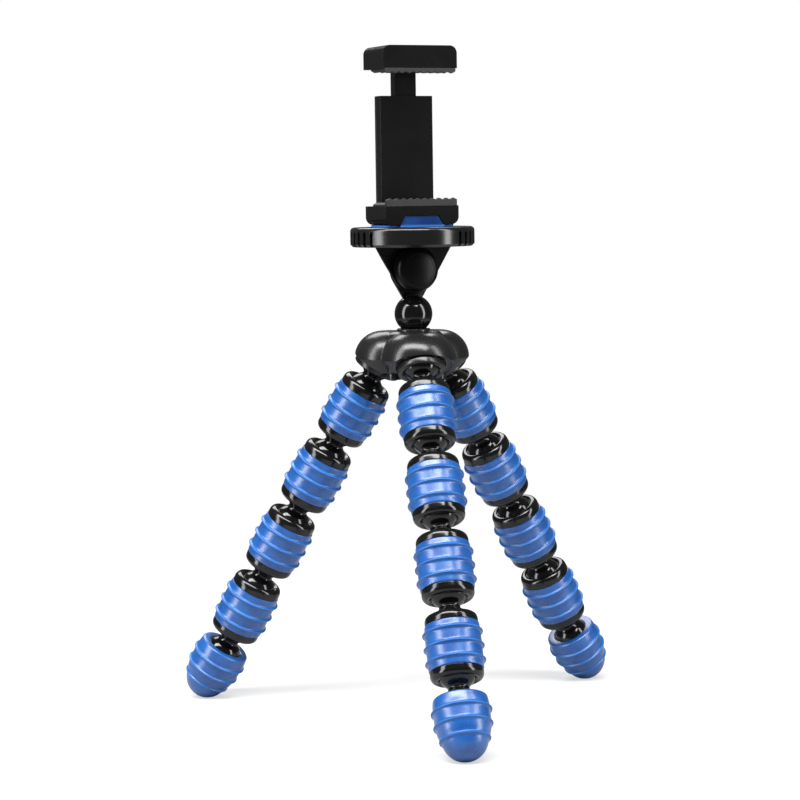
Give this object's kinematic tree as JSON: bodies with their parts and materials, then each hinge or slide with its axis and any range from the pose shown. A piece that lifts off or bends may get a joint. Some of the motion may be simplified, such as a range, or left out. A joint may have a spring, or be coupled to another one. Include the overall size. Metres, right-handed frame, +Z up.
{
  "type": "flexible tripod",
  "caption": "Small flexible tripod: ball-linked rubber-sleeved legs, a tilting and turning head and a spring clamp.",
  "frame": {"origin": "on the floor, under the middle of the whole box", "axes": "+Z up; the clamp faces -Y; +X is to the right of someone who looks at the clamp's front"},
  "size_m": [0.203, 0.1998, 0.3074],
  "materials": {
    "link_plastic": "polished black",
    "bead_plastic": "gloss black",
    "leg_rubber": "soft satin blue",
    "hub_plastic": "satin black",
    "bracket_plastic": "fine matt black",
    "jaw_plastic": "satin black",
    "pad_rubber": "smooth blue",
    "jaw_rubber": "matt black",
    "steel": "zinc plated",
    "spring_steel": "bright wire"
  },
  "bodies": {
    "hub": {"hub_cover": "hub_plastic", "hub_core": "hub_plastic", "hub_screws": "steel"},
    "head": {"head_ball": "link_plastic", "pan_screw": "steel"},
    "bracket": {"tilt_bracket": "bracket_plastic", "pivot_cap": "bracket_plastic", "pivot_bolt": "steel"},
    "platform": {"platform_wheel": "hub_plastic", "wheel_ring": "bracket_plastic", "camera_stud": "steel", "platform_pad": "pad_rubber", "clamp_base": "jaw_plastic", "clamp_cover": "jaw_plastic", "clamp_springs": "spring_steel", "lower_jaw_pad": "jaw_rubber"},
    "upper_jaw": {"clamp_slider": "jaw_plastic", "upper_jaw_pad": "jaw_rubber"},
    "leg_1_link_1": {"leg_1_link_1": "link_plastic"},
    "leg_1_bead_1": {"leg_1_core_1": "bead_plastic", "leg_1_sleeve_1": "leg_rubber"},
    "leg_1_link_2": {"leg_1_link_2": "link_plastic"},
    "leg_1_bead_2": {"leg_1_core_2": "bead_plastic", "leg_1_sleeve_2": "leg_rubber"},
    "leg_1_link_3": {"leg_1_link_3": "link_plastic"},
    "leg_1_bead_3": {"leg_1_core_3": "bead_plastic", "leg_1_sleeve_3": "leg_rubber"},
    "leg_1_link_4": {"leg_1_link_4": "link_plastic"},
    "leg_1_bead_4": {"leg_1_core_4": "bead_plastic", "leg_1_sleeve_4": "leg_rubber"},
    "leg_1_link_5": {"leg_1_link_5": "link_plastic"},
    "leg_1_foot": {"leg_1_foot": "leg_rubber"},
    "leg_2_link_1": {"leg_2_link_1": "link_plastic"},
    "leg_2_bead_1": {"leg_2_core_1": "bead_plastic", "leg_2_sleeve_1": "leg_rubber"},
    "leg_2_link_2": {"leg_2_link_2": "link_plastic"},
    "leg_2_bead_2": {"leg_2_core_2": "bead_plastic", "leg_2_sleeve_2": "leg_rubber"},
    "leg_2_link_3": {"leg_2_link_3": "link_plastic"},
    "leg_2_bead_3": {"leg_2_core_3": "bead_plastic", "leg_2_sleeve_3": "leg_rubber"},
    "leg_2_link_4": {"leg_2_link_4": "link_plastic"},
    "leg_2_bead_4": {"leg_2_core_4": "bead_plastic", "leg_2_sleeve_4": "leg_rubber"},
    "leg_2_link_5": {"leg_2_link_5": "link_plastic"},
    "leg_2_foot": {"leg_2_foot": "leg_rubber"},
    "leg_3_link_1": {"leg_3_link_1": "link_plastic"},
    "leg_3_bead_1": {"leg_3_core_1": "bead_plastic", "leg_3_sleeve_1": "leg_rubber"},
    "leg_3_link_2": {"leg_3_link_2": "link_plastic"},
    "leg_3_bead_2": {"leg_3_core_2": "bead_plastic", "leg_3_sleeve_2": "leg_rubber"},
    "leg_3_link_3": {"leg_3_link_3": "link_plastic"},
    "leg_3_bead_3": {"leg_3_core_3": "bead_plastic", "leg_3_sleeve_3": "leg_rubber"},
    "leg_3_link_4": {"leg_3_link_4": "link_plastic"},
    "leg_3_bead_4": {"leg_3_core_4": "bead_plastic", "leg_3_sleeve_4": "leg_rubber"},
    "leg_3_link_5": {"leg_3_link_5": "link_plastic"},
    "leg_3_foot": {"leg_3_foot": "leg_rubber"}
  },
  "joints": [
    {"name": "head_pan", "type": "hinge", "parent": "hub", "child": "head", "pos_m": [-0.01185, 0.01544, 0.18517], "axis": [0, 0, 1], "continuous": true},
    {"name": "head_tilt", "type": "hinge", "parent": "head", "child": "bracket", "pos_m": [-0.01185, 0.01544, 0.20577], "axis": [0, 1, 0], "range_deg": [-60, 60]},
    {"name": "platform_turn", "type": "hinge", "parent": "bracket", "child": "platform", "pos_m": [-0.01185, 0.01544, 0.22007], "axis": [0, 0, 1], "continuous": true},
    {"name": "jaw_slide", "type": "slide", "parent": "platform", "child": "upper_jaw", "axis": [0, 0, 1], "range_m": [0, 0.025], "stiffness_N_per_m": 120, "springref_m": -0.03, "deforming": ["clamp_springs"]},
    {"name": "leg_1_bend_1", "type": "hinge", "parent": "hub", "child": "leg_1_link_1", "pos_m": [-0.01554, -0.00054, 0.16337], "axis": [0.9744, -0.225, 0], "range_deg": [-20, 20]},
    {"name": "leg_1_sway_1", "type": "hinge", "parent": "leg_1_link_1", "child": "leg_1_bead_1", "pos_m": [-0.01751, -0.00907, 0.1488], "axis": [-0.1928, -0.8352, 0.515], "range_deg": [-20, 20]},
    {"name": "leg_1_bend_2", "type": "hinge", "parent": "leg_1_bead_1", "child": "leg_1_link_2", "pos_m": [-0.0199, -0.01939, 0.13184], "axis": [-0.9744, 0.225, 0], "range_deg": [-20, 20]},
    {"name": "leg_1_sway_2", "type": "hinge", "parent": "leg_1_link_2", "child": "leg_1_bead_2", "pos_m": [-0.0219, -0.02805, 0.11735], "axis": [0.1918, 0.8308, -0.5225], "range_deg": [-20, 20]},
    {"name": "leg_1_bend_3", "type": "hinge", "parent": "leg_1_bead_2", "child": "leg_1_link_3", "pos_m": [-0.02421, -0.03809, 0.1002], "axis": [0.9744, -0.225, 0], "range_deg": [-20, 20]},
    {"name": "leg_1_sway_3", "type": "hinge", "parent": "leg_1_link_3", "child": "leg_1_bead_3", "pos_m": [-0.02615, -0.04649, 0.08555], "axis": [-0.1938, -0.8395, 0.5075], "range_deg": [-20, 20]},
    {"name": "leg_1_bend_4", "type": "hinge", "parent": "leg_1_bead_3", "child": "leg_1_link_4", "pos_m": [-0.0284, -0.05624, 0.06823], "axis": [-0.9744, 0.225, 0], "range_deg": [-20, 20]},
    {"name": "leg_1_sway_4", "type": "hinge", "parent": "leg_1_link_4", "child": "leg_1_bead_4", "pos_m": [-0.03029, -0.06439, 0.05344], "axis": [0.1958, 0.848, -0.4924], "range_deg": [-20, 20]},
    {"name": "leg_1_bend_5", "type": "hinge", "parent": "leg_1_bead_4", "child": "leg_1_link_5", "pos_m": [-0.03247, -0.07384, 0.03595], "axis": [0.9744, -0.225, 0], "range_deg": [-20, 20]},
    {"name": "leg_1_sway_5", "type": "hinge", "parent": "leg_1_link_5", "child": "leg_1_foot", "pos_m": [-0.03444, -0.08237, 0.02137], "axis": [-0.1928, -0.8352, 0.515], "range_deg": [-20, 20]},
    {"name": "leg_2_bend_1", "type": "hinge", "parent": "hub", "child": "leg_2_link_1", "pos_m": [0.00383, 0.02024, 0.16337], "axis": [-0.2924, 0.9563, 0], "range_deg": [-20, 20]},
    {"name": "leg_2_sway_1", "type": "hinge", "parent": "leg_2_link_1", "child": "leg_2_bead_1", "pos_m": [0.0122, 0.0228, 0.1488], "axis": [0.8197, 0.2506, 0.515], "range_deg": [-20, 20]},
    {"name": "leg_2_bend_2", "type": "hinge", "parent": "leg_2_bead_1", "child": "leg_2_link_2", "pos_m": [0.02234, 0.0259, 0.13184], "axis": [0.2924, -0.9563, 0], "range_deg": [-20, 20]},
    {"name": "leg_2_sway_2", "type": "hinge", "parent": "leg_2_link_2", "child": "leg_2_bead_2", "pos_m": [0.03083, 0.02849, 0.11735], "axis": [-0.8154, -0.2493, -0.5225], "range_deg": [-20, 20]},
    {"name": "leg_2_bend_3", "type": "hinge", "parent": "leg_2_bead_2", "child": "leg_2_link_3", "pos_m": [0.04068, 0.03151, 0.1002], "axis": [-0.2924, 0.9563, 0], "range_deg": [-20, 20]},
    {"name": "leg_2_sway_3", "type": "hinge", "parent": "leg_2_link_3", "child": "leg_2_bead_3", "pos_m": [0.04893, 0.03403, 0.08555], "axis": [0.824, 0.2519, 0.5075], "range_deg": [-20, 20]},
    {"name": "leg_2_bend_4", "type": "hinge", "parent": "leg_2_bead_3", "child": "leg_2_link_4", "pos_m": [0.0585, 0.03695, 0.06823], "axis": [0.2924, -0.9563, 0], "range_deg": [-20, 20]},
    {"name": "leg_2_sway_4", "type": "hinge", "parent": "leg_2_link_4", "child": "leg_2_bead_4", "pos_m": [0.0665, 0.0394, 0.05344], "axis": [-0.8323, -0.2545, -0.4924], "range_deg": [-20, 20]},
    {"name": "leg_2_bend_5", "type": "hinge", "parent": "leg_2_bead_4", "child": "leg_2_link_5", "pos_m": [0.07577, 0.04223, 0.03595], "axis": [-0.2924, 0.9563, 0], "range_deg": [-20, 20]},
    {"name": "leg_2_sway_5", "type": "hinge", "parent": "leg_2_link_5", "child": "leg_2_foot", "pos_m": [0.08415, 0.04479, 0.02137], "axis": [0.8197, 0.2506, 0.515], "range_deg": [-20, 20]},
    {"name": "leg_3_bend_1", "type": "hinge", "parent": "hub", "child": "leg_3_link_1", "pos_m": [-0.02385, 0.02663, 0.16337], "axis": [-0.682, -0.7314, 0], "range_deg": [-20, 20]},
    {"name": "leg_3_sway_1", "type": "hinge", "parent": "leg_3_link_1", "child": "leg_3_bead_1", "pos_m": [-0.03025, 0.0326, 0.1488], "axis": [-0.6269, 0.5846, 0.515], "range_deg": [-20, 20]},
    {"name": "leg_3_bend_2", "type": "hinge", "parent": "leg_3_bead_1", "child": "leg_3_link_2", "pos_m": [-0.038, 0.03983, 0.13184], "axis": [0.682, 0.7314, 0], "range_deg": [-20, 20]},
    {"name": "leg_3_sway_2", "type": "hinge", "parent": "leg_3_link_2", "child": "leg_3_bead_2", "pos_m": [-0.0445, 0.04589, 0.11735], "axis": [0.6236, -0.5815, -0.5225], "range_deg": [-20, 20]},
    {"name": "leg_3_bend_3", "type": "hinge", "parent": "leg_3_bead_2", "child": "leg_3_link_3", "pos_m": [-0.05203, 0.05291, 0.1002], "axis": [-0.682, -0.7314, 0], "range_deg": [-20, 20]},
    {"name": "leg_3_sway_3", "type": "hinge", "parent": "leg_3_link_3", "child": "leg_3_bead_3", "pos_m": [-0.05834, 0.05879, 0.08555], "axis": [-0.6302, 0.5876, 0.5075], "range_deg": [-20, 20]},
    {"name": "leg_3_bend_4", "type": "hinge", "parent": "leg_3_bead_3", "child": "leg_3_link_4", "pos_m": [-0.06566, 0.06561, 0.06823], "axis": [0.682, 0.7314, 0], "range_deg": [-20, 20]},
    {"name": "leg_3_sway_4", "type": "hinge", "parent": "leg_3_link_4", "child": "leg_3_bead_4", "pos_m": [-0.07178, 0.07132, 0.05344], "axis": [0.6365, -0.5936, -0.4924], "range_deg": [-20, 20]},
    {"name": "leg_3_bend_5", "type": "hinge", "parent": "leg_3_bead_4", "child": "leg_3_link_5", "pos_m": [-0.07887, 0.07794, 0.03595], "axis": [-0.682, -0.7314, 0], "range_deg": [-20, 20]},
    {"name": "leg_3_sway_5", "type": "hinge", "parent": "leg_3_link_5", "child": "leg_3_foot", "pos_m": [-0.08527, 0.08391, 0.02137], "axis": [-0.6269, 0.5846, 0.515], "range_deg": [-20, 20]}
  ]
}
